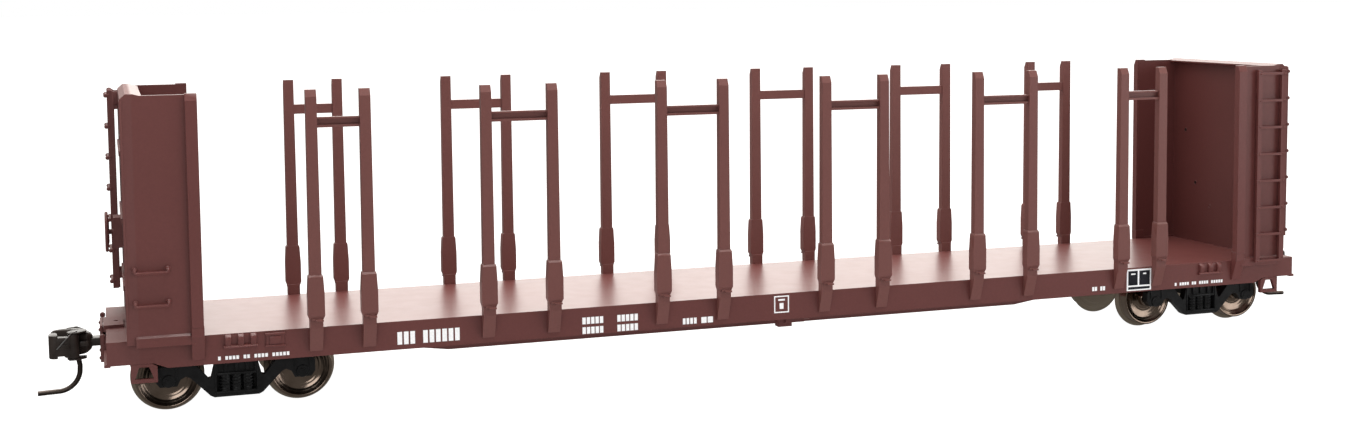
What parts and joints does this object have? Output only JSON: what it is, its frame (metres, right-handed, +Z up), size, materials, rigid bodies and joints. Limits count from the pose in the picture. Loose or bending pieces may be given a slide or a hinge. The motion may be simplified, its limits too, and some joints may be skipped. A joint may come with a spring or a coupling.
{
  "type": "model bulkhead log flat car",
  "caption": "HO scale bulkhead flat car for logs and pulpwood, with side stakes joined in pairs, ladders, knuckle couplers and swivelling trucks.",
  "frame": {"origin": "middle of the car, at the bottom of the wheel flanges", "axes": "+X along the car towards the A end, with the hand brake (B) end at -X; +Y across to the far side; +Z up"},
  "size_m": [0.2328, 0.0348, 0.0492],
  "materials": {
    "body_paint": "satin mineral-red paint over a moulding",
    "stake_paint": "satin mineral-red paint, a little lighter",
    "truck_plastic": "black acetal, satin",
    "coupler_plastic": "brown-black acetal, satin",
    "trip_pin_steel": "browned steel wire",
    "wheel_metal": "turned, darkened nickel plate",
    "screw_metal": "machined",
    "weight_steel": "plain rolled steel"
  },
  "bodies": {
    "root": {"car_body": "body_paint", "underframe": "body_paint", "steel_weight": "weight_steel", "stake_frame_near_1": "stake_paint", "stake_frame_near_2": "stake_paint", "stake_frame_near_3": "stake_paint", "stake_frame_near_4": "stake_paint", "stake_frame_near_5": "stake_paint", "stake_frame_near_6": "stake_paint", "stake_frame_far_1": "stake_paint", "stake_frame_far_2": "stake_paint", "stake_frame_far_3": "stake_paint", "stake_frame_far_4": "stake_paint", "stake_frame_far_5": "stake_paint", "stake_frame_far_6": "stake_paint", "bulkhead_a": "body_paint", "bulkhead_b": "body_paint", "side_ladder_a": "body_paint", "side_ladder_b": "body_paint", "end_ladder_a": "body_paint", "end_ladder_b": "body_paint", "grab_iron_a_lower": "body_paint", "grab_iron_a_upper": "body_paint", "grab_iron_b_lower": "body_paint", "grab_iron_b_upper": "body_paint", "step_near_a": "body_paint", "step_near_b": "body_paint", "step_far_a": "body_paint", "step_far_b": "body_paint", "draft_box_a": "body_paint", "draft_box_b": "body_paint", "coupler_screw_a": "screw_metal", "coupler_screw_b": "screw_metal", "truck_screw_a": "screw_metal", "truck_screw_b": "screw_metal", "brake_housing": "body_paint", "air_reservoir": "body_paint", "brake_cylinder": "body_paint", "control_valve": "body_paint"},
    "truck_a": {"truck_frame_a": "truck_plastic"},
    "truck_b": {"truck_frame_b": "truck_plastic"},
    "wheelset_a_inner": {"axle_a_inner": "wheel_metal", "wheel_a_inner_1": "wheel_metal", "wheel_a_inner_2": "wheel_metal"},
    "wheelset_a_outer": {"axle_a_outer": "wheel_metal", "wheel_a_outer_1": "wheel_metal", "wheel_a_outer_2": "wheel_metal"},
    "wheelset_b_inner": {"axle_b_inner": "wheel_metal", "wheel_b_inner_1": "wheel_metal", "wheel_b_inner_2": "wheel_metal"},
    "wheelset_b_outer": {"axle_b_outer": "wheel_metal", "wheel_b_outer_1": "wheel_metal", "wheel_b_outer_2": "wheel_metal"},
    "coupler_unit_a": {"coupler_a": "coupler_plastic", "trip_pin_a": "trip_pin_steel"},
    "coupler_unit_b": {"coupler_b": "coupler_plastic", "trip_pin_b": "trip_pin_steel"},
    "knuckle_unit_a": {"knuckle_a": "coupler_plastic"},
    "knuckle_unit_b": {"knuckle_b": "coupler_plastic"},
    "brake_wheel_unit": {"brake_wheel": "body_paint"}
  },
  "joints": [
    {"name": "truck_a_swivel", "type": "hinge", "parent": "root", "child": "truck_a", "pos_m": [0.0875, 0, 0.0083], "axis": [0, 0, 1], "range_deg": [-10, 10]},
    {"name": "truck_b_swivel", "type": "hinge", "parent": "root", "child": "truck_b", "pos_m": [-0.0875, 0, 0.0083], "axis": [0, 0, 1], "range_deg": [-10, 10]},
    {"name": "wheelset_a_inner_spin", "type": "hinge", "parent": "truck_a", "child": "wheelset_a_inner", "pos_m": [0.0776, 0, 0.00547], "axis": [0, 1, 0], "continuous": true},
    {"name": "wheelset_a_outer_spin", "type": "hinge", "parent": "truck_a", "child": "wheelset_a_outer", "pos_m": [0.0974, 0, 0.00547], "axis": [0, 1, 0], "continuous": true},
    {"name": "wheelset_b_inner_spin", "type": "hinge", "parent": "truck_b", "child": "wheelset_b_inner", "pos_m": [-0.0776, 0, 0.00547], "axis": [0, 1, 0], "continuous": true},
    {"name": "wheelset_b_outer_spin", "type": "hinge", "parent": "truck_b", "child": "wheelset_b_outer", "pos_m": [-0.0974, 0, 0.00547], "axis": [0, 1, 0], "continuous": true},
    {"name": "coupler_a_swing", "type": "hinge", "parent": "root", "child": "coupler_unit_a", "pos_m": [0.101, 0, 0.01005], "axis": [0, 0, 1], "range_deg": [-10, 10], "stiffness_Nm_per_rad": 0.0001},
    {"name": "coupler_b_swing", "type": "hinge", "parent": "root", "child": "coupler_unit_b", "pos_m": [-0.101, 0, 0.01005], "axis": [0, 0, 1], "range_deg": [-10, 10], "stiffness_Nm_per_rad": 0.0001},
    {"name": "knuckle_a_hinge", "type": "hinge", "parent": "coupler_unit_a", "child": "knuckle_unit_a", "pos_m": [0.1109, 0.00235, 0.0098], "axis": [0, 0, 1], "range_deg": [0, 25], "stiffness_Nm_per_rad": 0.00005},
    {"name": "knuckle_b_hinge", "type": "hinge", "parent": "coupler_unit_b", "child": "knuckle_unit_b", "pos_m": [-0.1109, -0.00235, 0.0098], "axis": [0, 0, 1], "range_deg": [0, 25], "stiffness_Nm_per_rad": 0.00005},
    {"name": "brake_wheel_spin", "type": "hinge", "parent": "root", "child": "brake_wheel_unit", "pos_m": [-0.1055, 0.001, 0.0269], "axis": [1, 0, 0], "continuous": true}
  ]
}
